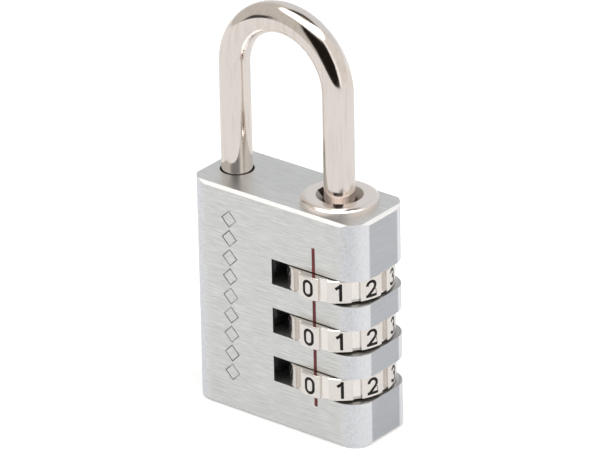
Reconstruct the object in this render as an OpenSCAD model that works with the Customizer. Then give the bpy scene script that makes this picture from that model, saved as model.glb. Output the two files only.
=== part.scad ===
// Three-dial combination padlock with a resettable code, millimetres.
// X runs along the width, Y from front to back (the front face is at -Y), Z up.
// The origin is the middle of the bottom face. The long shackle leg, the dials
// and the code hubs share one upright axis at x = axis_x.

/* [Body] */
// Width of the body, left to right
body_w = 33.6; // [33.6:0.1:35]
// Depth of the body, front to back
body_d = 13.8; // [13.6:0.1:14.4]
// Height of the body
body_h = 38.6; // [38.6:0.1:40]
// Radius of the four upright edges
corner_r = 3.9; // [3:0.1:4]
// Bevel round the top and bottom faces
edge_bevel = 0.5; // [0.3:0.1:0.6]

/* [Shackle] */
// Diameter of the shackle bar
bar_d = 5; // [4.8:0.1:5]
// Distance between the axes of the two legs
leg_spacing = 20.4; // [20.1:0.1:20.6]
// Place of the short leg's axis, left of the middle
toe_x = -12.1; // [-12.4:0.1:-12]
// Height of the top of the bow above the bottom face
bow_top = 69.4; // [64:0.1:74]
// How far the short leg reaches into the body
toe_depth = 6.3; // [5:0.1:6.5]
// How far the open shackle lifts
shackle_lift = 7.5; // [7.2:0.1:7.5]

/* [Dials] */
// Radius over the number lands
dial_r = 8.45; // [8.3:0.05:8.5]
// Height of one dial
dial_h = 3.9; // [3.7:0.1:4]
// Height of the slot that a dial turns in
slot_h = 4.36; // [4.3:0.02:4.4]
// Distance from one dial to the next
dial_pitch = 8.48; // [8.44:0.02:8.5]
// Height of the top slot's upper face
top_slot_z = 28.9; // [28.8:0.1:29]
// Radius of the cutter that opens the slots
slot_r = 10.8; // [10.5:0.1:10.8]
// Width of the groove between two lands
groove_w = 1.45; // [1.2:0.05:1.5]
// Depth of the groove between two lands
groove_depth = 0.55; // [0.4:0.05:0.6]
// Height of an engraved digit
digit_h = 2.9; // [2.6:0.1:3]
// Stroke width of an engraved digit
digit_stroke = 0.45; // [0.35:0.02:0.5]

/* [Code mechanism] */
// Outer radius of a code hub
hub_r = 5.42; // [5.4:0.01:5.45]
// Height of a code hub
hub_h = 8.4; // [8.3:0.02:8.4]
// How far the hubs are pushed down to set a new code
code_travel = 1; // [0.8:0.05:1]
// Reach of the locking fins from the leg's axis
fin_r = 3.8; // [3.6:0.05:3.8]

/* [Hidden] */
$fn = 64;
eps = 0.01;

bar_r = bar_d / 2;
axis_x = toe_x + leg_spacing;
bow_r = leg_spacing / 2;
bow_z = bow_top - bar_r - bow_r;

// Dial 1 is the top one.
dials = [0, 1, 2];
digits = 10;
digit_step = 360 / digits;
function slot_bottom(i) = top_slot_z - slot_h - i * dial_pitch;
function dial_z(i) = slot_bottom(i) + slot_h / 2 + 0.1;
dial_bevel = 0.15;
inlay_depth = 0.15;

// Upright bore that the hubs stand in, and the collar's seat above it
bore_r = 5.5;
collar_seat_r = 4.9;
hub_below = 3.4;
bore_top = dial_z(0) - hub_below + hub_h + 0.08;

// Each hub has a web with a gate; each fin waits below a web and rises above it.
cavity_r = 4;
web_bore_r = bar_r + 0.2;
web_z = 1.2;
web_h = 1.4;
fin_w = 1.8;
fin_h = 1.4;
fin_top = web_z - code_travel - 0.2;
gate_w = fin_w + 0.4;

// Two teeth in each dial drive the hub; a ring groove frees them for a new code.
tooth_tip_r = 4.9;
tooth_w = 0.8;
tooth_h = 0.8;
notch_floor_r = 4.8;
notch_w = 1;
ring_groove_z = 0.5;
ring_groove_h = 1.1;

// Collar: a flange crowned towards its rim, a funnel round the leg, and a shank
// whose lower end stops the fins. Two blind notches are cut in the funnel.
flange_r = 6.15;
flange_h = 1.2;
crown_w = 1.2;
crown_angle = 42;
crown_arc_r = crown_w / sin(crown_angle);
funnel_r = 3.7;
collar_bore_r = bar_r + 0.2;
shank_z = dial_z(0) + fin_top + shackle_lift + 0.07;
notch_depth = 3;
wide_notch_w = 1.85;
thin_notch_w = 0.4;
thin_notch_reach = 3.9;

// Bottom of the bore: retaining ring, plug, spring and washer, from below
ring_z = 0.42;
ring_h = 0.6;
ring_seat_r = 5.9;
plug_z = ring_z + ring_h + 0.03;
plug_h = 1.4;
spigot_r = 3.3;
spigot_h = 1.05;
washer_h = 0.7;
washer_z = dial_z(2) - hub_below - 0.02 - washer_h;
washer_bore_r = 3.1;
spring_r = 4.5;
spring_wire = 0.5;
leg_bottom = plug_z + plug_h + spigot_h + 0.1;

// Short leg's hole
toe_hole_r = bar_r + 0.25;
toe_hole_depth = toe_depth + 0.7;

// Painted index line down the front
index_w = 0.6;
index_depth = 0.2;
index_top = 33.1;
index_bottom = 5.6;

// Detent leaf: a shallow V whose crown sits in a dial groove
leaf_half = 4.2;
leaf_t = 0.25;
crown_r = 0.45;
groove_floor_r = dial_r - groove_depth;

// ---------- shared shapes ----------

module ring(outer, inner, h) {
    difference() {
        cylinder(r = outer, h = h);
        translate([0, 0, -eps]) cylinder(r = inner, h = h + 2 * eps);
    }
}

// Outline of a bevelled slab seen along one side, w wide and h high
module bevelled_outline(w, h, c) {
    polygon([
        [-w / 2 + c, 0], [w / 2 - c, 0], [w / 2, c], [w / 2, h - c],
        [w / 2 - c, h], [-w / 2 + c, h], [-w / 2, h - c], [-w / 2, c]
    ]);
}

// Extruded bar with round upright edges, then straight bevels milled along its
// four sides, top and bottom, so each bevel runs out on the round edges
module bevelled_block(w, d, h, r, c) {
    intersection() {
        union() {
            translate([-w / 2, -d / 2 + r, 0]) cube([w, d - 2 * r, h]);
            translate([-w / 2 + r, -d / 2, 0]) cube([w - 2 * r, d, h]);
            for (x = [-1, 1], y = [-1, 1])
                translate([x * (w / 2 - r), y * (d / 2 - r), 0]) cylinder(r = r, h = h);
        }
        translate([-w / 2, 0, 0]) rotate([90, 0, 90]) linear_extrude(w) bevelled_outline(d, h, c);
        translate([0, d / 2, 0]) rotate([90, 0, 0]) linear_extrude(d) bevelled_outline(w, h, c);
    }
}

// ---------- digits, drawn upright round their own middle ----------

// Part of a circular stroke, from angle a0 to angle a1
module arc_stroke(r, a0, a1) {
    far = 2 * r + digit_stroke;
    steps = 8;
    intersection() {
        difference() {
            circle(r = r + digit_stroke / 2);
            circle(r = r - digit_stroke / 2);
        }
        polygon(concat([[0, 0]], [
            for (k = [0:steps])
                let (a = a0 + (a1 - a0) * k / steps) [far * cos(a), far * sin(a)]
        ]));
    }
}

// Straight stroke between two points
module bar_stroke(a, b) {
    d = b - a;
    translate(a) rotate(atan2(d[1], d[0]))
        translate([0, -digit_stroke / 2]) square([norm(d), digit_stroke]);
}

module digit(n) {
    s = digit_stroke;
    half_h = digit_h / 2;
    half_w = 0.95;
    top = half_h - s / 2;
    side = half_w - s / 2;
    if (n == 0) {
        for (m = [0, 180]) rotate(m) {
            translate([0, top - side]) arc_stroke(side, 0, 180);
            translate([side - s / 2, -(top - side)]) square([s, 2 * (top - side)]);
        }
    }
    if (n == 1) {
        translate([0, -half_h]) square([s, digit_h]);
        bar_stroke([-0.55, top - 0.62], [s / 2, top - 0.05]);
    }
    if (n == 2) {
        translate([0, top - side]) arc_stroke(side, -35, 180);
        bar_stroke([-side + 0.05, -top], [side * 0.86, top - side * 1.6]);
        translate([-half_w, -half_h]) square([2 * half_w, s]);
    }
    if (n == 3) {
        translate([0, top - 0.62]) arc_stroke(0.62, -90, 160);
        translate([0, -top + 0.7]) arc_stroke(0.7, -165, 90);
    }
    if (n == 4) {
        translate([0.3, -half_h]) square([s, digit_h]);
        translate([-half_w, -0.85]) square([2 * half_w, s]);
        bar_stroke([-side, -0.65], [0.45, top]);
    }
    if (n == 5) {
        translate([-0.65, top - s / 2]) square([1.45, s]);
        translate([-0.65, 0.1]) square([s, top - 0.1]);
        translate([-0.05, -top + side]) arc_stroke(side, -160, 125);
    }
    if (n == 6 || n == 9) rotate(n == 9 ? 180 : 0) {
        translate([0, -top + side]) arc_stroke(side, 0, 360);
        bar_stroke([-side + 0.03, -top + side], [0.35, top]);
    }
    if (n == 7) {
        translate([-half_w, top - s / 2]) square([2 * half_w, s]);
        bar_stroke([-0.35, -half_h], [side, top]);
    }
    if (n == 8) {
        translate([0, top - 0.6]) arc_stroke(0.6, 0, 360);
        translate([0, -top + 0.72]) arc_stroke(0.72, 0, 360);
    }
}

// All ten digits of a dial, standing out from just under the land surface
module digit_ring() {
    difference() {
        for (n = [0:digits - 1])
            rotate([0, 0, n * digit_step]) translate([0, -dial_r + 1, 0]) rotate([90, 0, 0])
                linear_extrude(2) digit(n);
        cylinder(r = dial_r - inlay_depth, h = dial_h, center = true);
    }
}

// ---------- parts ----------

module body() {
    color("#c8cacb") difference() {
        bevelled_block(body_w, body_d, body_h, corner_r, edge_bevel);
        for (i = dials)
            translate([axis_x, 0, slot_bottom(i)]) cylinder(r = slot_r, h = slot_h, $fn = 96);
        translate([axis_x, 0, -eps]) cylinder(r = bore_r, h = bore_top + eps);
        translate([axis_x, 0, bore_top - eps])
            cylinder(r = collar_seat_r, h = body_h - bore_top + 2 * eps);
        translate([axis_x, 0, ring_z - 0.02]) cylinder(r = ring_seat_r, h = ring_h + 0.04);
        translate([toe_x, 0, body_h - toe_hole_depth])
            cylinder(r = toe_hole_r, h = toe_hole_depth + eps);
        index_line();
    }
}

module index_line() {
    translate([axis_x - index_w / 2, -body_d / 2 - eps, index_bottom])
        cube([index_w, index_depth + eps, index_top - index_bottom]);
}

// Paint that fills the index line between the slots
module index_marks() {
    color("#6e1f22") difference() {
        translate([axis_x - index_w / 2, -body_d / 2, index_bottom])
            cube([index_w, index_depth, index_top - index_bottom]);
        for (i = dials)
            translate([axis_x, 0, slot_bottom(i)]) cylinder(r = slot_r, h = slot_h, $fn = 96);
    }
}

module collar() {
    top = body_h + flange_h;
    crown_steps = 6;
    crown = [
        for (k = [0:crown_steps])
            let (t = crown_angle * (1 - k / crown_steps))
                [flange_r - crown_w + crown_arc_r * sin(t), top - crown_arc_r * (1 - cos(t))]
    ];
    color("#d9d0c8") translate([axis_x, 0, 0]) difference() {
        rotate_extrude()
            polygon(concat(
                [[collar_bore_r, shank_z], [collar_seat_r, shank_z], [collar_seat_r, body_h]],
                [[flange_r, body_h]], crown,
                [[funnel_r, top], [collar_bore_r, top - funnel_r + collar_bore_r]]
            ));
        translate([0, 0, top - notch_depth]) {
            translate([-funnel_r, -wide_notch_w / 2, 0])
                cube([funnel_r, wide_notch_w, notch_depth + eps]);
            translate([-thin_notch_w / 2, 0, 0])
                cube([thin_notch_w, thin_notch_reach, notch_depth + eps]);
        }
    }
}

module shackle() {
    end_bevel = 0.4;
    color("#d8d2cb") {
        translate([toe_x + bow_r, 0, bow_z]) rotate([90, 0, 0])
            rotate_extrude(angle = 180) translate([bow_r, 0]) circle(r = bar_r);
        for (leg = [[toe_x, body_h - toe_depth], [axis_x, leg_bottom]])
            translate([leg[0], 0, leg[1]]) {
                cylinder(r1 = bar_r - end_bevel, r2 = bar_r, h = end_bevel);
                translate([0, 0, end_bevel]) cylinder(r = bar_r, h = bow_z - leg[1] - end_bevel);
            }
        for (i = dials)
            translate([axis_x, 0, dial_z(i) + fin_top - fin_h]) locking_fin();
    }
}

// A fin points at the short leg and has a round tip
module locking_fin() {
    intersection() {
        translate([-fin_r, -fin_w / 2, 0]) cube([fin_r, fin_w, fin_h]);
        translate([0, 0, -eps]) cylinder(r = fin_r, h = fin_h + 2 * eps);
    }
}

module dial(i) {
    color("#e3dad4") translate([axis_x, 0, dial_z(i)]) {
        difference() {
            rotate_extrude()
                polygon([
                    [bore_r, -dial_h / 2], [dial_r - dial_bevel, -dial_h / 2],
                    [dial_r, -dial_h / 2 + dial_bevel], [dial_r, dial_h / 2 - dial_bevel],
                    [dial_r - dial_bevel, dial_h / 2], [bore_r, dial_h / 2]
                ]);
            for (k = [0:digits - 1])
                rotate([0, 0, k * digit_step])
                    translate([groove_floor_r, -groove_w / 2, -dial_h / 2 - eps])
                        cube([1, groove_w, dial_h + 2 * eps]);
            digit_ring();
        }
        for (a = [0, 180])
            rotate([0, 0, a]) translate([tooth_tip_r, -tooth_w / 2, -tooth_h / 2])
                cube([bore_r - tooth_tip_r + 0.1, tooth_w, tooth_h]);
    }
}

// Paint that fills the ten engraved digits of a dial
module numbers(i) {
    color("#1d1b1a") translate([axis_x, 0, dial_z(i)]) intersection() {
        digit_ring();
        cylinder(r = dial_r, h = dial_h, center = true);
    }
}

module code_hub(i) {
    color("#c9a85c") translate([axis_x, 0, dial_z(i)]) difference() {
        translate([0, 0, -hub_below]) cylinder(r = hub_r, h = hub_h);
        translate([0, 0, -hub_below - eps]) cylinder(r = cavity_r, h = hub_below + web_z + eps);
        translate([0, 0, web_z + web_h])
            cylinder(r = cavity_r, h = hub_h - hub_below - web_z - web_h + eps);
        translate([0, 0, web_z - eps]) cylinder(r = web_bore_r, h = web_h + 2 * eps);
        translate([0, 0, web_z - eps]) intersection() {
            translate([-cavity_r, -gate_w / 2, 0]) cube([cavity_r, gate_w, web_h + 2 * eps]);
            cylinder(r = cavity_r, h = web_h + 2 * eps);
        }
        for (k = [0:digits - 1])
            rotate([0, 0, k * digit_step]) translate([notch_floor_r, -notch_w / 2, -1])
                cube([1, notch_w, hub_h]);
        translate([0, 0, ring_groove_z]) ring(hub_r + 1, notch_floor_r, ring_groove_h);
    }
}

module detent_spring(i) {
    end_x = axis_x - sqrt(pow(slot_r, 2) - pow(leaf_half, 2)) + 0.05;
    crown_x = axis_x - groove_floor_r - crown_r - 0.02;
    front_x = crown_x - 0.1;
    color("#8f9296") translate([0, 0, dial_z(i) - dial_h / 2]) {
        linear_extrude(dial_h) polygon([
            [end_x, leaf_half], [end_x + leaf_t, leaf_half], [front_x, 0],
            [end_x + leaf_t, -leaf_half], [end_x, -leaf_half], [front_x - leaf_t, 0]
        ]);
        translate([crown_x, 0, 0]) cylinder(r = crown_r, h = dial_h);
    }
}

module pressure_washer() {
    color("#b9bbbd") translate([axis_x, 0, washer_z])
        ring(hub_r, washer_bore_r, washer_h);
}

// Compression spring between the plug and the washer, both ends closed
module hub_spring() {
    sides = 8;
    steps = 24;
    turns = 3.5;
    rings = steps * turns;
    z0 = plug_z + plug_h + spring_wire / 2;
    z1 = washer_z - spring_wire / 2;
    closed = 0.75;
    function rise(t) = min(1, max(0, (t - closed) / (turns - 2 * closed)));
    points = [
        for (j = [0:rings]) let (t = j / steps, a = 360 * t)
            for (k = [0:sides - 1]) let (b = 360 * k / sides, r = spring_r + spring_wire / 2 * cos(b))
                [r * cos(a), r * sin(a), z0 + (z1 - z0) * rise(t) + spring_wire / 2 * sin(b)]
    ];
    walls = [
        for (j = [0:rings - 1], k = [0:sides - 1]) let (n = (k + 1) % sides)
            [j * sides + k, j * sides + n, (j + 1) * sides + n, (j + 1) * sides + k]
    ];
    ends = [[for (k = [0:sides - 1]) sides - 1 - k], [for (k = [0:sides - 1]) rings * sides + k]];
    color("#9a9da1") translate([axis_x, 0, 0]) polyhedron(points, concat(walls, ends));
}

module bottom_plug() {
    color("#b4b7b9") translate([axis_x, 0, plug_z]) {
        cylinder(r = bore_r, h = plug_h);
        cylinder(r = spigot_r, h = plug_h + spigot_h);
    }
}

// Internal retaining ring with a gap and two eyes for pliers
module retaining_ring() {
    inner = 4.75;
    eye_r = 0.8;
    eye_x = 4.7;
    gap = 50;
    color("#7d8084") translate([axis_x, 0, ring_z]) difference() {
        union() {
            difference() {
                ring(ring_seat_r - 0.05, inner, ring_h);
                translate([0, 0, -eps]) linear_extrude(ring_h + 2 * eps)
                    polygon([[0, 0], 8 * [cos(gap / 2), -sin(gap / 2)], 8 * [cos(gap / 2), sin(gap / 2)]]);
            }
            for (a = [-gap / 2 - 6, gap / 2 + 6])
                rotate([0, 0, a]) translate([eye_x, 0, 0]) cylinder(r = eye_r, h = ring_h);
        }
        for (a = [-gap / 2 - 6, gap / 2 + 6])
            rotate([0, 0, a]) translate([eye_x, 0, -eps]) cylinder(r = 0.35, h = ring_h + 2 * eps);
    }
}

body();
index_marks();
collar();
shackle();
dial(0);  // dial_1
dial(1);  // dial_2
dial(2);  // dial_3
numbers(0);  // numbers_1
numbers(1);  // numbers_2
numbers(2);  // numbers_3
code_hub(0);  // code_hub_1
code_hub(1);  // code_hub_2
code_hub(2);  // code_hub_3
detent_spring(0);  // detent_spring_1
detent_spring(1);  // detent_spring_2
detent_spring(2);  // detent_spring_3
pressure_washer();
hub_spring();
bottom_plug();
retaining_ring();
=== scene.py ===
import math

import bmesh
import bpy
from mathutils import Matrix, Vector


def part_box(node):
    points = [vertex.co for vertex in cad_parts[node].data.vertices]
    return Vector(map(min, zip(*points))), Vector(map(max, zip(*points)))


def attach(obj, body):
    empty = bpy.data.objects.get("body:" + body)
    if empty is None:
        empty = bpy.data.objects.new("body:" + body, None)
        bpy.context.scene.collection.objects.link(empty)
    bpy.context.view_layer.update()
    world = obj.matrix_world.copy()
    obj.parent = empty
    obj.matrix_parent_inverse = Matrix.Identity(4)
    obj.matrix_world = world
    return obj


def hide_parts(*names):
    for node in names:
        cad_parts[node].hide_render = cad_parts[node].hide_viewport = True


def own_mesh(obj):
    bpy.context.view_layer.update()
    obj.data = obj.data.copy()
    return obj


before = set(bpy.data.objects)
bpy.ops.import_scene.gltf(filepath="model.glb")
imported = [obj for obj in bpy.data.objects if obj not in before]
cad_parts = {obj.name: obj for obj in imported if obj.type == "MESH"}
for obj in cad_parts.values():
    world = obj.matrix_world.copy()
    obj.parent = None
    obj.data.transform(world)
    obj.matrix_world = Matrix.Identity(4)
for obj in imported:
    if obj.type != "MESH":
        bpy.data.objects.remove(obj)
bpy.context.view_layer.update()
scene = bpy.context.scene

# ------------------------------------------------------------------ studio
# A white table under a wide soft lamp, inside a tent of pale cloth. The tent is
# open at the front, so polished metal mirrors that side as a dark shape.
scene.view_settings.view_transform = "Standard"

tent = bpy.data.worlds.new("light_tent")
scene.world = tent
tent.use_nodes = True
tent_tree = tent.node_tree
tent_links = tent_tree.links


def tent_math(operation, a, b=None):
    node = tent_tree.nodes.new("ShaderNodeMath")
    node.operation = operation
    for socket, value in zip(node.inputs, (a, b)):
        if isinstance(value, (int, float)):
            socket.default_value = value
        elif value is not None:
            tent_links.new(value, socket)
    return node.outputs[0]


def tent_step(angle, degrees, softness):
    """A mask that rises from 0 to 1 where an angle passes so many degrees."""
    node = tent_tree.nodes.new("ShaderNodeMapRange")
    node.interpolation_type = "SMOOTHSTEP"
    tent_links.new(angle, node.inputs["Value"])
    node.inputs["From Min"].default_value = math.radians(degrees - softness)
    node.inputs["From Max"].default_value = math.radians(degrees + softness)
    return node.outputs["Result"]


def tent_band(angle, low, high, softness):
    """A mask that is 1 between two angles, in degrees."""
    above = tent_step(angle, low, softness)
    below = tent_math("SUBTRACT", 1.0, tent_step(angle, high, softness))
    return tent_math("MULTIPLY", above, below)


def tent_layer(under, mask, color):
    """Cover the tent so far with a colour, where the mask is 1."""
    node = tent_tree.nodes.new("ShaderNodeMix")
    node.data_type = "RGBA"
    tent_links.new(mask, node.inputs["Factor"])
    if isinstance(under, tuple):
        node.inputs["A"].default_value = (*under, 1)
    else:
        tent_links.new(under, node.inputs["A"])
    node.inputs["B"].default_value = (*color, 1)
    return node.outputs["Result"]


def tent_outside(angle, low, high, softness):
    return tent_math("SUBTRACT", 1.0, tent_band(angle, low, high, softness))


ray = tent_tree.nodes.new("ShaderNodeTexCoord").outputs["Generated"]
direction = tent_tree.nodes.new("ShaderNodeSeparateXYZ")
tent_links.new(ray, direction.inputs[0])
bearing = tent_math("ARCTAN2", direction.outputs["X"],
                    tent_math("MULTIPLY", direction.outputs["Y"], -1.0))
height = tent_math("ARCSINE", direction.outputs["Z"])

# Each panel has a mask of heights, a mask of bearings, and its light. Bearings
# run from the front of the lock, and are positive to its right.
under_lamp = tent_band(bearing, -100, 140, 12)
beside_lamp = tent_math("SUBTRACT", 1.0, under_lamp)
lamp_light = (3.9, 3.9, 3.9)
roof_light = (1.9, 1.9, 1.9)
panels = (
    # the lit back wall, and the duller cloth above it to the left
    (tent_band(height, -40, 20, 10), tent_outside(bearing, -150, 145, 10), (1.1, 1.1, 1.1)),
    (tent_band(height, 0, 58, 8), tent_outside(bearing, -125, 150, 10), (0.74, 0.75, 0.76)),
    # the right wall, with a brighter strip at its near edge
    (tent_band(height, -10, 60, 6), tent_band(bearing, 60, 150, 6), (0.80, 0.77, 0.72)),
    (tent_band(height, -10, 60, 6), tent_band(bearing, 60, 78, 6), (1.1, 1.08, 1.04)),
    # the lamp, the roof over it, and the gap beside it
    (tent_step(height, 57, 4), under_lamp, lamp_light),
    (tent_step(height, 78, 4), under_lamp, roof_light),
    (tent_band(height, 62, 80, 4), beside_lamp, (0.08, 0.07, 0.06)),
    # the dark opening at the front, and a low dark bar left of it
    (tent_band(height, -60, 50, 4), tent_band(bearing, -8, 62, 4), (0.014, 0.010, 0.008)),
    (tent_band(height, -6, 10, 3), tent_band(bearing, -57, -37, 3), (0.05, 0.05, 0.05)),
)
light = (0.60, 0.575, 0.53)
for heights, bearings, color in panels:
    light = tent_layer(light, tent_math("MULTIPLY", heights, bearings), color)
seen_directly = tent_tree.nodes.new("ShaderNodeLightPath").outputs["Is Camera Ray"]
backdrop = tent_layer(light, seen_directly, (1.0, 1.0, 1.0))
tent_links.new(backdrop, tent_tree.nodes["Background"].inputs["Color"])

# The table lies a hair below the lock's foot, so the two don't share a plane.
table_half = 0.9
table_front = 0.31
table_turn = math.radians(27)
table_gap = 0.00005
table_mesh = bpy.data.meshes.new("table")
table_shape = bmesh.new()
bmesh.ops.create_grid(table_shape, x_segments=1, y_segments=1, size=table_half)
bmesh.ops.translate(table_shape, verts=table_shape.verts,
                    vec=(0, table_half - table_front, -table_gap))
bmesh.ops.rotate(table_shape, verts=table_shape.verts, cent=(0, 0, 0),
                 matrix=Matrix.Rotation(table_turn, 3, "Z"))
table_shape.to_mesh(table_mesh)
table_shape.free()
table = bpy.data.objects.new("table", table_mesh)
scene.collection.objects.link(table)
table_white = bpy.data.materials.new("table_white")
table_white.use_nodes = True
table_tree = table_white.node_tree
table_surface = table_tree.nodes["Principled BSDF"]
table_surface.inputs["Roughness"].default_value = 0.8
table_surface.inputs["Emission Color"].default_value = (1, 1, 1, 1)
table_surface.inputs["Emission Strength"].default_value = 0.26
table_shade = table_tree.nodes.new("ShaderNodeMix")
table_shade.data_type = "RGBA"
table_shade.inputs["A"].default_value = (0.52, 0.52, 0.52, 1)
table_shade.inputs["B"].default_value = (0.85, 0.85, 0.85, 1)
table_tree.links.new(table_tree.nodes.new("ShaderNodeLightPath").outputs["Is Camera Ray"],
                     table_shade.inputs["Factor"])
table_tree.links.new(table_shade.outputs["Result"], table_surface.inputs["Base Color"])
table_mesh.materials.append(table_white)

# The camera stands far off, to the right of the front and a little above.
look_at = Vector((0.000293, 0.0, 0.03224))
camera_distance = 0.9536
camera_azimuth = math.radians(38.76)
camera_elevation = math.radians(25.74)
camera_roll = math.radians(-1.195)
toward_camera = Vector((
    math.sin(camera_azimuth) * math.cos(camera_elevation),
    -math.cos(camera_azimuth) * math.cos(camera_elevation),
    math.sin(camera_elevation),
))
level_right = Vector((math.cos(camera_azimuth), math.sin(camera_azimuth), 0))
level_up = toward_camera.cross(level_right)
camera_right = level_right * math.cos(camera_roll) + level_up * math.sin(camera_roll)
camera_up = level_up * math.cos(camera_roll) - level_right * math.sin(camera_roll)
camera_data = bpy.data.cameras.new("camera")
camera_data.sensor_width = 36
camera_data.lens = 366.2
camera = bpy.data.objects.new("camera", camera_data)
scene.collection.objects.link(camera)
camera_turn = Matrix((camera_right, camera_up, toward_camera)).transposed().to_4x4()
camera.matrix_world = Matrix.Translation(look_at + toward_camera * camera_distance) @ camera_turn
scene.camera = camera

# ------------------------------------------------------------------ body
# A length of extruded aluminium bar: the upright edges keep the round, die-drawn
# skin of the bar, the flat faces are brushed along the width, and the edges of
# both ends are milled off straight. Slots and bores are cut in it afterwards.
mm = 0.001
body_low, body_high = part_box("body")
collar_low, collar_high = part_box("collar")
axis_x = (collar_low.x + collar_high.x) / 2
corner_r = 3.9 * mm
end_bevel = 0.5 * mm
slot_r = 10.8 * mm
slot_h = 4.36 * mm
slot_drop = 0.1 * mm
bore_r = 5.5 * mm
bore_top = 31.9 * mm
collar_seat_r = 4.9 * mm
ring_seat_r, ring_seat_low, ring_seat_high = 5.9 * mm, 0.4 * mm, 1.04 * mm
toe_x = -12.1 * mm
toe_hole_r, toe_hole_floor = 2.75 * mm, 31.6 * mm
index_w, index_depth, index_low, index_high = 0.6 * mm, 0.2 * mm, 5.6 * mm, 33.1 * mm
dials = ("dial_1", "dial_2", "dial_3")
past = 1 * mm  # how far a cutter reaches past the face it cuts


def place(shape, x=0.0, y=0.0, z=0.0):
    bmesh.ops.translate(shape, verts=shape.verts, vec=(x, y, z))


def add_block(shape, low, high):
    size = Vector(high) - Vector(low)
    middle = (Vector(high) + Vector(low)) / 2
    box = Matrix.Translation(middle) @ Matrix.Diagonal((*size, 1))
    return bmesh.ops.create_cube(shape, size=1.0, matrix=box)["verts"]


def add_rod(shape, radius, middle, length, sides):
    bmesh.ops.create_cone(shape, cap_ends=True, segments=sides, radius1=radius, radius2=radius,
                          depth=length, matrix=Matrix.Translation(middle))


def slice_off(shape, point, outward):
    """Cut away what lies beyond a plane, and close the cut."""
    bmesh.ops.bisect_plane(shape, geom=shape.verts[:] + shape.edges[:] + shape.faces[:],
                           plane_co=point, plane_no=outward, clear_outer=True)
    bmesh.ops.holes_fill(shape, edges=[e for e in shape.edges if e.is_boundary], sides=0)


def turn_profile(shape, profile, steps=96):
    """Turn a closed outline of (radius, height) points round the upright axis."""
    points = [shape.verts.new((r, 0, z)) for r, z in profile]
    edges = [shape.edges.new((a, b)) for a, b in zip(points, points[1:] + points[:1])]
    bmesh.ops.spin(shape, geom=points + edges, cent=(0, 0, 0), axis=(0, 0, 1),
                   angle=math.tau, steps=steps, use_merge=True)
    bmesh.ops.remove_doubles(shape, verts=shape.verts, dist=1e-7)
    bmesh.ops.dissolve_degenerate(shape, edges=shape.edges, dist=1e-7)
    bmesh.ops.recalc_face_normals(shape, faces=shape.faces)


def make_piece(shape, name, material):
    mesh = bpy.data.meshes.new(name)
    shape.to_mesh(mesh)
    shape.free()
    mesh.materials.append(material)
    piece = bpy.data.objects.new(name, mesh)
    scene.collection.objects.link(piece)
    return piece


def combine(piece, cutter, operation="DIFFERENCE"):
    """Cut the cutter out of the piece, or join it on, and throw it away."""
    cut = piece.modifiers.new("cut", "BOOLEAN")
    cut.operation = operation
    cut.solver = "EXACT"
    cut.material_mode = "TRANSFER"
    cut.object = cutter
    now = bpy.context.evaluated_depsgraph_get()
    result = bpy.data.meshes.new_from_object(piece.evaluated_get(now))
    piece.modifiers.clear()
    old, cutter_mesh = piece.data, cutter.data
    piece.data = result
    bpy.data.objects.remove(cutter)
    bpy.data.meshes.remove(old)
    bpy.data.meshes.remove(cutter_mesh)


def finish_piece(piece, sharp_degrees, edge_round=0.0):
    """Smooth the curved faces; a live bevel breaks the sharp edges."""
    piece.data.polygons.foreach_set("use_smooth", [True] * len(piece.data.polygons))
    piece.data.set_sharp_from_angle(angle=math.radians(sharp_degrees))
    if edge_round:
        rounding = piece.modifiers.new("edge_round", "BEVEL")
        rounding.width = edge_round
        rounding.segments = 2
        rounding.limit_method = "ANGLE"
        rounding.angle_limit = math.radians(sharp_degrees)
        rounding.use_clamp_overlap = False
        rounding.harden_normals = True


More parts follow.
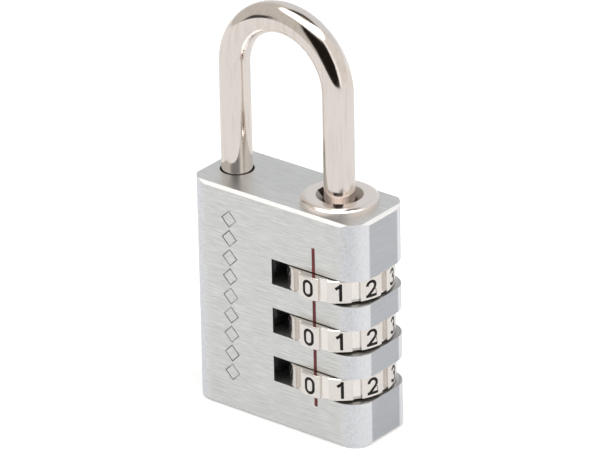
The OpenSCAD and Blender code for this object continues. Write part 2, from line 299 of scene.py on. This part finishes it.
class Finish:
    """A material whose patterns follow the piece's own coordinates."""

    def __init__(self, name, color, rough, metallic=1.0):
        self.material = bpy.data.materials.new(name)
        self.material.use_nodes = True
        self.tree = self.material.node_tree
        self.shader = self.tree.nodes["Principled BSDF"]
        self.color = (*color, 1)
        self.shader.inputs["Base Color"].default_value = self.color
        self.shader.inputs["Roughness"].default_value = rough
        self.shader.inputs["Metallic"].default_value = metallic
        self.coordinates = self.tree.nodes.new("ShaderNodeTexCoord")
        self.bump = None

    def set(self, socket, value):
        if isinstance(value, bpy.types.NodeSocket):
            self.tree.links.new(value, socket)
        else:
            socket.default_value = value

    def math(self, operation, a, b=0.0):
        node = self.tree.nodes.new("ShaderNodeMath")
        node.operation = operation
        self.set(node.inputs[0], a)
        self.set(node.inputs[1], b)
        return node.outputs[0]

    def axes(self, kind):
        """The x, y and z of a point's place ("Object") or of its "Normal"."""
        node = self.tree.nodes.new("ShaderNodeSeparateXYZ")
        self.tree.links.new(self.coordinates.outputs[kind], node.inputs[0])
        return node.outputs

    def reach(self, x):
        """How far a point lies from the upright axis at x."""
        place = self.axes("Object")
        off = self.math("SUBTRACT", place[0], x)
        return self.math("SQRT", self.math("ADD", self.math("MULTIPLY", off, off),
                                           self.math("MULTIPLY", place[1], place[1])))

    def grain(self, scale, detail=3.0, roughness=0.6):
        """Noise whose cells are 1 / scale metres long on each axis."""
        mapping = self.tree.nodes.new("ShaderNodeMapping")
        mapping.inputs["Scale"].default_value = scale
        noise = self.tree.nodes.new("ShaderNodeTexNoise")
        noise.inputs["Scale"].default_value = 1.0
        noise.inputs["Detail"].default_value = detail
        noise.inputs["Roughness"].default_value = roughness
        self.tree.links.new(self.coordinates.outputs["Object"], mapping.inputs[0])
        self.tree.links.new(mapping.outputs[0], noise.inputs["Vector"])
        return noise.outputs["Fac"]

    def rings(self, x, spacing):
        """Turning lines: noise that runs round the upright axis at x."""
        joined = self.tree.nodes.new("ShaderNodeCombineXYZ")
        self.set(joined.inputs[0], self.math("DIVIDE", self.reach(x), spacing))
        self.set(joined.inputs[1], self.math("DIVIDE", self.axes("Object")[2], spacing))
        noise = self.tree.nodes.new("ShaderNodeTexNoise")
        noise.inputs["Scale"].default_value = 1.0
        noise.inputs["Detail"].default_value = 2.0
        self.tree.links.new(joined.outputs[0], noise.inputs["Vector"])
        return noise.outputs["Fac"]

    def spread(self, value, low, high, low_out=0.0, high_out=1.0):
        """Stretch what lies between low and high over low_out to high_out."""
        node = self.tree.nodes.new("ShaderNodeMapRange")
        self.set(node.inputs["Value"], value)
        node.inputs["From Min"].default_value = low
        node.inputs["From Max"].default_value = high
        node.inputs["To Min"].default_value = low_out
        node.inputs["To Max"].default_value = high_out
        return node.outputs["Result"]

    def blend(self, factor, a, b):
        node = self.tree.nodes.new("ShaderNodeMix")
        self.set(node.inputs["Factor"], factor)
        self.set(node.inputs["A"], a)
        self.set(node.inputs["B"], b)
        return node.outputs["Result"]

    def tint(self, factor, color):
        """Lay another colour over the base colour where factor is 1."""
        node = self.tree.nodes.new("ShaderNodeMix")
        node.data_type = "RGBA"
        self.set(node.inputs["Factor"], factor)
        links = self.shader.inputs["Base Color"].links
        self.set(node.inputs["A"], links[0].from_socket if links else self.color)
        node.inputs["B"].default_value = (*color, 1)
        self.set(self.shader.inputs["Base Color"], node.outputs["Result"])

    def roughen(self, value, low, high):
        """Let the roughness follow a noise from low to high."""
        self.set(self.shader.inputs["Roughness"], self.spread(value, 0.3, 0.7, low, high))

    def raise_by(self, value, depth):
        """Add relief of a depth in metres to the relief so far."""
        node = self.tree.nodes.new("ShaderNodeBump")
        node.inputs["Strength"].default_value = 1.0
        node.inputs["Distance"].default_value = depth
        self.set(node.inputs["Height"], value)
        if self.bump:
            self.set(node.inputs["Normal"], self.bump)
        self.bump = node.outputs["Normal"]
        self.set(self.shader.inputs["Normal"], self.bump)


def paint(node, finish):
    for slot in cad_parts[node].material_slots:
        slot.material = finish.material


# Brush streaks run along the width on the broad faces and along the depth on
# the end faces. The round corners keep the mottled skin of the die. Painted
# light: painted shade on the end faces and on the top and foot, a pale bluish
# painted reflection mottled by the die skin on the round corners with a painted
# highlight at their outer rims, and a white painted highlight on the milled bevels.
brushed = Finish("brushed_aluminium", (0.775, 0.785, 0.775), 0.36)
across, along = 4200, 230
along_width = brushed.grain((along, across, across), detail=3.0, roughness=0.8)
along_depth = brushed.grain((across, along, across), detail=3.0, roughness=0.8)
die_skin = brushed.grain((3000, 3000, 1500), detail=3.0, roughness=0.75)
mottle = brushed.grain((300, 420, 420), detail=3.0)
facing = brushed.axes("Normal")
upward = brushed.math("ABSOLUTE", facing[2])
sideways = brushed.math("ABSOLUTE", facing[0])
off_middle = brushed.math("ABSOLUTE", brushed.axes("Object")[0])
on_end_face = brushed.spread(sideways, 0.985, 0.995)
on_wall = brushed.spread(upward, 0.5, 0.2)
on_top = brushed.spread(upward, 0.95, 0.99, 0.0, 0.4)
on_bevel = brushed.math("MULTIPLY", brushed.spread(upward, 0.5, 0.6),
                        brushed.spread(upward, 0.95, 0.85))
round_wall = brushed.math("MULTIPLY", on_wall, brushed.math("SUBTRACT", 1.0, on_end_face))
on_corner = brushed.math("MULTIPLY", round_wall,
                         brushed.spread(off_middle, 12.6 * mm, 14.8 * mm))
corner_rim = brushed.math("MULTIPLY", round_wall,
                          brushed.spread(off_middle, 15.0 * mm, 16.6 * mm, 0.0, 0.3))
streaks = brushed.blend(on_end_face, along_width, along_depth)
brushed.tint(brushed.math("MULTIPLY", brushed.spread(mottle, 0.35, 0.65), 0.4),
             (0.74, 0.745, 0.735))
brushed.tint(brushed.spread(streaks, 0.52, 0.28, 0.0, 0.8), (0.58, 0.59, 0.575))
brushed.tint(brushed.spread(streaks, 0.52, 0.72, 0.0, 0.7), (0.95, 0.955, 0.95))
# Painted shade: the end faces are darkened to a cool grey, a little less along the light streaks.
brushed.tint(brushed.math("MULTIPLY", on_end_face, brushed.spread(streaks, 0.7, 0.3, 0.8, 1.0)),
             (0.52, 0.54, 0.58))
# Painted reflection: the round corners are lightened to a pale bluish grey, mottled by the die
# skin.
brushed.tint(brushed.math("MULTIPLY", on_corner, brushed.spread(die_skin, 0.36, 0.62, 0.25, 0.95)),
             (0.88, 0.90, 0.97))
# Painted highlight: the outer part of each round corner is lightened almost to white.
brushed.tint(corner_rim, (0.96, 0.98, 1.0))
# Painted shade: the top and foot faces are darkened.
brushed.tint(on_top, (0.62, 0.625, 0.61))
# Painted highlight: the milled bevels are coloured white.
brushed.tint(on_bevel, (1.0, 1.0, 1.0))
brushed.set(brushed.shader.inputs["Roughness"],
            brushed.blend(brushed.math("MAXIMUM", on_corner, on_bevel),
                          brushed.spread(streaks, 0.3, 0.7, 0.44, 0.34), 0.5))
brushed.raise_by(brushed.blend(on_corner, streaks, die_skin), 0.018 * mm)

# Painted shade: the engraved lines are coloured dark grey for the shade in the shallow cuts,
# lighter in patches.
engraved = Finish("engraved_line_shade", (0.30, 0.30, 0.30), 0.6)
wiped = engraved.grain((500, 500, 500), detail=2.0)
engraved.tint(engraved.spread(wiped, 0.45, 0.62), (0.62, 0.63, 0.62))
engraved.raise_by(engraved.grain((9000, 9000, 9000)), 0.01 * mm)

milled = Finish("milled_inside", (0.62, 0.62, 0.61), 0.42)
cutter_marks = milled.rings(axis_x, 0.4 * mm)
milled.tint(milled.spread(cutter_marks, 0.4, 0.65), (0.46, 0.46, 0.45))
milled.roughen(cutter_marks, 0.32, 0.5)
milled.raise_by(cutter_marks, 0.01 * mm)

shape = bmesh.new()
add_block(shape, body_low, body_high)
uprights = [e for e in shape.edges if abs(e.verts[0].co.z - e.verts[1].co.z) > mm]
bmesh.ops.bevel(shape, geom=uprights, offset=corner_r, offset_type="OFFSET", segments=20,
                affect="EDGES", profile=0.5, material=-1)
middle = (body_low + body_high) / 2
half = (body_high - body_low) / 2
for side in (Vector((1, 0, 0)), Vector((-1, 0, 0)), Vector((0, 1, 0)), Vector((0, -1, 0))):
    for end in (Vector((0, 0, 1)), Vector((0, 0, -1))):
        edge = middle + Vector(a * b for a, b in zip(side + end, half))
        slice_off(shape, edge - side * end_bevel, side + end)
bmesh.ops.recalc_face_normals(shape, faces=shape.faces)
body = make_piece(shape, "body_block", brushed.material)

# The dial slots, then the stepped bore from the bottom plug to the collar.
shape = bmesh.new()
for dial in dials:
    dial_low, dial_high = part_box(dial)
    slot_z = (dial_low.z + dial_high.z) / 2 - slot_drop
    add_rod(shape, slot_r, (axis_x, 0, slot_z), slot_h, sides=128)
combine(body, make_piece(shape, "slot_cutter", milled.material))

shape = bmesh.new()
cut_top = body_high.z + past
turn_profile(shape, [
    (0, -past), (bore_r, -past), (bore_r, ring_seat_low), (ring_seat_r, ring_seat_low),
    (ring_seat_r, ring_seat_high), (bore_r, ring_seat_high), (bore_r, bore_top),
    (collar_seat_r, bore_top), (collar_seat_r, cut_top), (0, cut_top),
])
place(shape, x=axis_x)
add_rod(shape, toe_hole_r, (toe_x, 0, (cut_top + toe_hole_floor) / 2), cut_top - toe_hole_floor,
        sides=64)
combine(body, make_piece(shape, "bore_cutter", milled.material))

# The painted index line's groove, and a column of thin engraved lozenges.
lozenge_x = -8.4 * mm
lozenge_first = 6.6 * mm
lozenge_pitch = 3.35 * mm
lozenge_half = 1.5 * mm
lozenge_line = 0.15 * mm
lozenge_depth = 0.07 * mm
shape = bmesh.new()
add_block(shape, (axis_x - index_w / 2, body_low.y - past, index_low),
          (axis_x + index_w / 2, body_low.y + index_depth, index_high))
for k in range(9):
    lozenge = (lozenge_x, body_low.y - past, lozenge_first + lozenge_pitch * k)
    outline = bmesh.ops.create_circle(
        shape, cap_ends=True, segments=4, radius=lozenge_half,
        matrix=Matrix.Translation(lozenge) @ Matrix.Rotation(math.pi / 2, 4, "X"))["verts"]
    face = outline[0].link_faces[0]
    bmesh.ops.inset_region(shape, faces=[face], thickness=lozenge_line,
                           use_boundary=True, use_even_offset=True)
    rim = [f for e in face.edges for f in e.link_faces if f is not face]
    bmesh.ops.delete(shape, geom=[face], context="FACES")
    walls = bmesh.ops.extrude_face_region(shape, geom=rim, use_keep_orig=True)["geom"]
    bmesh.ops.translate(shape, verts=[v for v in walls if isinstance(v, bmesh.types.BMVert)],
                        vec=(0, past + lozenge_depth, 0))
bmesh.ops.recalc_face_normals(shape, faces=shape.faces)
combine(body, make_piece(shape, "engraver", engraved.material))
finish_piece(body, sharp_degrees=25, edge_round=0.04 * mm)
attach(body, "body")
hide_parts("body")

# Dark red paint laid in the index groove between the slots.
index_paint = Finish("index_paint", (0.17, 0.018, 0.022), 0.45, metallic=0.0)
brush_marks = index_paint.grain((2500, 2500, 900))
index_paint.tint(index_paint.spread(brush_marks, 0.45, 0.7), (0.27, 0.036, 0.04))
index_paint.raise_by(index_paint.grain((5000, 5000, 2500)), 0.02 * mm)
paint("index_marks", index_paint)

# ------------------------------------------------------------------ shackle
# One length of round steel bar bent to a bow, polished and nickel plated. The
# long leg carries the three locking fins inside the body.
shackle_low, shackle_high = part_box("shackle")
bar_r = shackle_high.y
bow_x = (toe_x + axis_x) / 2
bow_r = (axis_x - toe_x) / 2
bow_z = shackle_high.z - bar_r - bow_r
toe_low = body_high.z - 6.3 * mm
end_chamfer = 0.4 * mm
fin_r, fin_w, fin_h = 3.8 * mm, 1.8 * mm, 1.4 * mm
fin_drop = 1.4 * mm


def pull(shape, edges, offset, growth=1.0):
    """Extrude an open rim by an offset and widen it; returns the new rim."""
    made = bmesh.ops.extrude_edge_only(shape, edges=edges)["geom"]
    rim = [v for v in made if isinstance(v, bmesh.types.BMVert)]
    middle = sum((v.co for v in rim), Vector()) / len(rim)
    bmesh.ops.translate(shape, verts=rim, vec=offset)
    bmesh.ops.scale(shape, verts=rim, vec=(growth, growth, 1),
                    space=Matrix.Translation(-(middle + Vector(offset))))
    return [e for e in made
            if isinstance(e, bmesh.types.BMEdge) and all(v in rim for v in e.verts)]


nickel = Finish("polished_nickel", (0.84, 0.775, 0.735), 0.08)
polish = nickel.grain((1500, 1500, 130), detail=4.0, roughness=0.65)
nickel.tint(nickel.spread(polish, 0.48, 0.70), (0.765, 0.695, 0.645))
nickel.roughen(polish, 0.06, 0.14)
nickel.raise_by(nickel.grain((900, 900, 160), detail=2.0), 0.006 * mm)
nickel.raise_by(nickel.grain((7000, 7000, 500), detail=2.0), 0.0015 * mm)

shape = bmesh.new()
tip_r = bar_r - end_chamfer
rim = bmesh.ops.create_circle(shape, cap_ends=True, segments=64, radius=tip_r,
                              matrix=Matrix.Translation((toe_x, 0, toe_low)))["verts"]
edges = list({e for v in rim for e in v.link_edges})
edges = pull(shape, edges, (0, 0, end_chamfer), bar_r / tip_r)
edges = pull(shape, edges, (0, 0, bow_z - toe_low - end_chamfer))
rim = list({v for e in edges for v in e.verts})
bow = bmesh.ops.spin(shape, geom=rim + edges, cent=(bow_x, 0, bow_z), axis=(0, 1, 0),
                     angle=math.pi, steps=72)
edges = [e for e in bow["geom_last"] if isinstance(e, bmesh.types.BMEdge)]
edges = pull(shape, edges, (0, 0, shackle_low.z + end_chamfer - bow_z))
edges = pull(shape, edges, (0, 0, -end_chamfer), tip_r / bar_r)
bmesh.ops.holes_fill(shape, edges=edges, sides=0)
bmesh.ops.recalc_face_normals(shape, faces=shape.faces)
shackle = make_piece(shape, "shackle_bow", nickel.material)
for dial in dials:
    dial_low, dial_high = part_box(dial)
    fin_z = (dial_low.z + dial_high.z) / 2 - fin_drop
    shape = bmesh.new()
    add_rod(shape, fin_r, (axis_x, 0, fin_z), fin_h, sides=96)
    slice_off(shape, (axis_x, fin_w / 2, 0), (0, 1, 0))
    slice_off(shape, (axis_x, -fin_w / 2, 0), (0, -1, 0))
    slice_off(shape, (axis_x, 0, 0), (1, 0, 0))
    bmesh.ops.recalc_face_normals(shape, faces=shape.faces)
    combine(shackle, make_piece(shape, "fin", nickel.material), "UNION")
finish_piece(shackle, sharp_degrees=30)
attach(shackle, "shackle")
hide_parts("shackle")

# ------------------------------------------------------------------ collar
# A turned and nickel-plated steel collar pressed into the top of the body. Its
# top is crowned, a 45 degree funnel leads to the leg, and two notches are
# milled in the funnel.
funnel_r = 3.7 * mm
guide_r = 2.7 * mm
flange_r = (collar_high.x - collar_low.x) / 2
crown_w = 1.2 * mm
crown_angle = math.radians(42)
crown_arc_r = crown_w / math.sin(crown_angle)
crown_steps = 12
wide_notch_w, wide_notch_reach = 1.85 * mm, 3.7 * mm
thin_notch_w, thin_notch_reach = 0.4 * mm, 3.9 * mm
notch_floor = collar_high.z - 3.0 * mm
notch_top = collar_high.z + past
crown = []
for k in range(crown_steps + 1):
    turn = crown_angle * (1 - k / crown_steps)
    crown.append((flange_r - crown_w + crown_arc_r * math.sin(turn),
                  collar_high.z - crown_arc_r * (1 - math.cos(turn))))
shape = bmesh.new()
turn_profile(shape, [
    (guide_r, collar_low.z), (collar_seat_r, collar_low.z), (collar_seat_r, body_high.z),
    (flange_r, body_high.z), *crown,
    (funnel_r + 0.08 * mm, collar_high.z), (funnel_r, collar_high.z - 0.04 * mm),
    (guide_r, collar_high.z - funnel_r + guide_r),
], steps=128)
place(shape, x=axis_x)

# The funnel and the outer rim are left duller than the lapped top, and the funnel is darkened with
# painted shade.
plated = Finish("plated_collar", (0.89, 0.815, 0.775), 0.17)
lathe_lines = plated.rings(axis_x, 0.18 * mm)
collar_reach = plated.reach(axis_x)
in_funnel = plated.spread(collar_reach, funnel_r + 0.08 * mm, funnel_r)
on_rim = plated.spread(collar_reach, flange_r - 0.07 * mm, flange_r - 0.03 * mm)
plated.tint(plated.spread(lathe_lines, 0.5, 0.75), (0.79, 0.745, 0.70))
# Painted shade in the funnel.
plated.tint(in_funnel, (0.45, 0.40, 0.37))
plated.set(plated.shader.inputs["Roughness"],
           plated.blend(plated.math("MAXIMUM", in_funnel, on_rim),
                        plated.spread(lathe_lines, 0.3, 0.7, 0.15, 0.26), 0.42))
plated.raise_by(lathe_lines, 0.0015 * mm)
plated.raise_by(plated.grain((1200, 1200, 1200), detail=2.0), 0.004 * mm)
collar = make_piece(shape, "collar_ring", plated.material)
shape = bmesh.new()
add_block(shape, (axis_x - wide_notch_reach, -wide_notch_w / 2, notch_floor),
          (axis_x, wide_notch_w / 2, notch_top))
combine(collar, make_piece(shape, "notch_cutter", plated.material))
shape = bmesh.new()
add_block(shape, (axis_x - thin_notch_w / 2, 0, notch_floor),
          (axis_x + thin_notch_w / 2, thin_notch_reach, notch_top))
combine(collar, make_piece(shape, "notch_cutter", plated.material))
finish_piece(collar, sharp_degrees=28)
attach(collar, "body")
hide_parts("collar")

# ------------------------------------------------------------------ dials
# Three plated number rings. Ten lands carry engraved digits, the grooves
# between them are the finger grips and the detent's notches, and two teeth in
# the bore drive the code hub.
dial_low, dial_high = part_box("dial_1")
dial_r = 8.45 * mm
dial_edge = 0.15 * mm
groove_w = 1.45 * mm
groove_floor = dial_r - 0.55 * mm
tooth_tip_r, tooth_w, tooth_h = 4.9 * mm, 0.8 * mm, 0.8 * mm
tooth_root = 0.2 * mm
dial_z = (dial_low.z + dial_high.z) / 2
dial_half = (dial_high.z - dial_low.z) / 2

# The groove walls carry painted shade, a little darker than the lands and the groove floors.
plated_dial = Finish("plated_dial", (0.97, 0.925, 0.89), 0.13)
dial_polish = plated_dial.grain((1400, 1400, 1400), detail=3.0)
plated_dial.tint(plated_dial.spread(dial_polish, 0.5, 0.75), (0.90, 0.855, 0.82))
plated_dial.roughen(dial_polish, 0.10, 0.2)
dial_reach = plated_dial.reach(axis_x)
above_floor = plated_dial.spread(dial_reach, groove_floor + 0.03 * mm, groove_floor + 0.07 * mm)
below_land = plated_dial.spread(dial_reach, dial_r + 0.01 * mm, dial_r - 0.03 * mm)
groove_wall = plated_dial.math("MULTIPLY", above_floor, below_land)
leaning = plated_dial.math("ABSOLUTE", plated_dial.axes("Normal")[2])
upright = plated_dial.spread(leaning, 0.6, 0.3)
plated_dial.tint(plated_dial.math("MULTIPLY", groove_wall, upright), (0.66, 0.62, 0.58))
plated_dial.raise_by(plated_dial.grain((900, 900, 900), detail=3.0), 0.006 * mm)

shape = bmesh.new()
turn_profile(shape, [
    (bore_r, -dial_half), (dial_r - dial_edge, -dial_half), (dial_r, -dial_half + dial_edge),
    (dial_r, dial_half - dial_edge), (dial_r - dial_edge, dial_half), (bore_r, dial_half),
], steps=160)
dial_ring = make_piece(shape, "dial_ring", plated_dial.material)
shape = bmesh.new()
for k in range(10):
    groove = add_block(shape, (groove_floor, -groove_w / 2, -dial_half - past),
                       (dial_r + past, groove_w / 2, dial_half + past))
    bmesh.ops.rotate(shape, verts=groove, cent=(0, 0, 0),
                     matrix=Matrix.Rotation(math.radians(36 * k), 3, "Z"))
combine(dial_ring, make_piece(shape, "groove_cutter", plated_dial.material))
shape = bmesh.new()
for turn in (0, math.pi):
    tooth = add_block(shape, (tooth_tip_r, -tooth_w / 2, -tooth_h / 2),
                      (bore_r + tooth_root, tooth_w / 2, tooth_h / 2))
    bmesh.ops.rotate(shape, verts=tooth, cent=(0, 0, 0), matrix=Matrix.Rotation(turn, 3, "Z"))
combine(dial_ring, make_piece(shape, "teeth", plated_dial.material), "UNION")
dial_ring.data.transform(Matrix.Translation((axis_x, 0, dial_z)))

# The digits are cut as deep as the paint that fills them. The cutter's outer
# faces are moved out past the lands, so that it opens them cleanly.
digit_face = dial_r - 0.08 * mm
digit_past = 0.3 * mm
shape = bmesh.new()
shape.from_mesh(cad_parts["numbers_1"].data)
bmesh.ops.remove_doubles(shape, verts=shape.verts, dist=1e-6)
for point in shape.verts:
    out = Vector((point.co.x - axis_x, point.co.y, 0))
    if out.length > digit_face:
        point.co += out.normalized() * digit_past
bmesh.ops.recalc_face_normals(shape, faces=shape.faces)
combine(dial_ring, make_piece(shape, "digit_cutter", plated_dial.material))

black_paint = Finish("digit_paint", (0.006, 0.005, 0.005), 0.45, metallic=0.0)
black_paint.shader.inputs["Specular IOR Level"].default_value = 0.25
paint_wear = black_paint.grain((2600, 2600, 2600))
black_paint.tint(black_paint.spread(paint_wear, 0.5, 0.72), (0.022, 0.020, 0.019))
black_paint.raise_by(black_paint.grain((6000, 6000, 6000)), 0.01 * mm)
for k, dial in enumerate(dials, start=1):
    this_low, this_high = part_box(dial)
    ring_mesh = dial_ring.data.copy()
    ring_mesh.transform(Matrix.Translation((0, 0, this_low.z - dial_low.z)))
    number_ring = bpy.data.objects.new(f"number_ring_{k}", ring_mesh)
    scene.collection.objects.link(number_ring)
    finish_piece(number_ring, sharp_degrees=22, edge_round=0.035 * mm)
    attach(number_ring, dial)
    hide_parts(dial)
    paint(f"numbers_{k}", black_paint)
bpy.data.objects.remove(dial_ring)

# ------------------------------------------------------------------ lock work
# Turned brass code hubs, blued detent springs, and the spring, washer, plug and
# retaining ring that close the bore from below.
brass = Finish("turned_brass", (0.78, 0.55, 0.25), 0.26)
hub_lines = brass.rings(axis_x, 0.2 * mm)
brass.tint(brass.spread(hub_lines, 0.5, 0.75), (0.62, 0.42, 0.18))
brass.roughen(hub_lines, 0.2, 0.38)
brass.raise_by(hub_lines, 0.003 * mm)

spring_steel = Finish("spring_steel", (0.50, 0.51, 0.53), 0.3)
rolling = spring_steel.grain((400, 400, 4000))
spring_steel.tint(spring_steel.spread(rolling, 0.45, 0.7), (0.36, 0.37, 0.40))
spring_steel.roughen(rolling, 0.24, 0.42)
spring_steel.raise_by(rolling, 0.004 * mm)

zinc = Finish("zinc_plate", (0.66, 0.67, 0.68), 0.34)
spangle = zinc.grain((1500, 1500, 1500), detail=4.0)
zinc.tint(zinc.spread(spangle, 0.4, 0.7), (0.53, 0.54, 0.56))
zinc.roughen(spangle, 0.28, 0.45)
zinc.raise_by(zinc.rings(axis_x, 0.3 * mm), 0.003 * mm)

phosphate = Finish("dark_ring_steel", (0.30, 0.31, 0.32), 0.4)
pickled = phosphate.grain((2400, 2400, 2400), detail=4.0)
phosphate.tint(phosphate.spread(pickled, 0.45, 0.7), (0.42, 0.43, 0.44))
phosphate.roughen(pickled, 0.34, 0.52)
phosphate.raise_by(pickled, 0.006 * mm)

# The spring is wound with its end turns closed.
spring_low, spring_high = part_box("hub_spring")
wire_r = 0.25 * mm
coil_r = 4.5 * mm
spring_h = spring_high.z - spring_low.z
closed_turns, rising_turns = 0.6, 2.0
shape = bmesh.new()
wire_end = bmesh.ops.create_circle(
    shape, cap_ends=True, segments=12, radius=wire_r,
    matrix=Matrix.Translation((coil_r, 0, 0)) @ Matrix.Rotation(math.pi / 2, 4, "X"))["verts"]
edges = list({e for v in wire_end for e in v.link_edges})
for turns, rise in ((closed_turns, 0.0), (rising_turns, spring_h - 2 * wire_r),
                    (closed_turns, 0.0)):
    steps = round(48 * turns)
    rim = list({v for e in edges for v in e.verts})
    wound = bmesh.ops.spin(shape, geom=rim + edges, cent=(0, 0, 0), axis=(0, 0, 1),
                           dvec=(0, 0, rise / steps), angle=math.tau * turns, steps=steps)
    edges = [e for e in wound["geom_last"] if isinstance(e, bmesh.types.BMEdge)]
bmesh.ops.holes_fill(shape, edges=edges, sides=0)
bmesh.ops.recalc_face_normals(shape, faces=shape.faces)
place(shape, x=axis_x, z=spring_low.z + wire_r)
coil = make_piece(shape, "hub_coil", spring_steel.material)
finish_piece(coil, sharp_degrees=40)
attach(coil, "body")
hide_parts("hub_spring")
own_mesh(coil)

for k in range(1, 4):
    paint(f"code_hub_{k}", brass)
    paint(f"detent_spring_{k}", spring_steel)
paint("pressure_washer", zinc)
paint("bottom_plug", zinc)
paint("retaining_ring", phosphate)
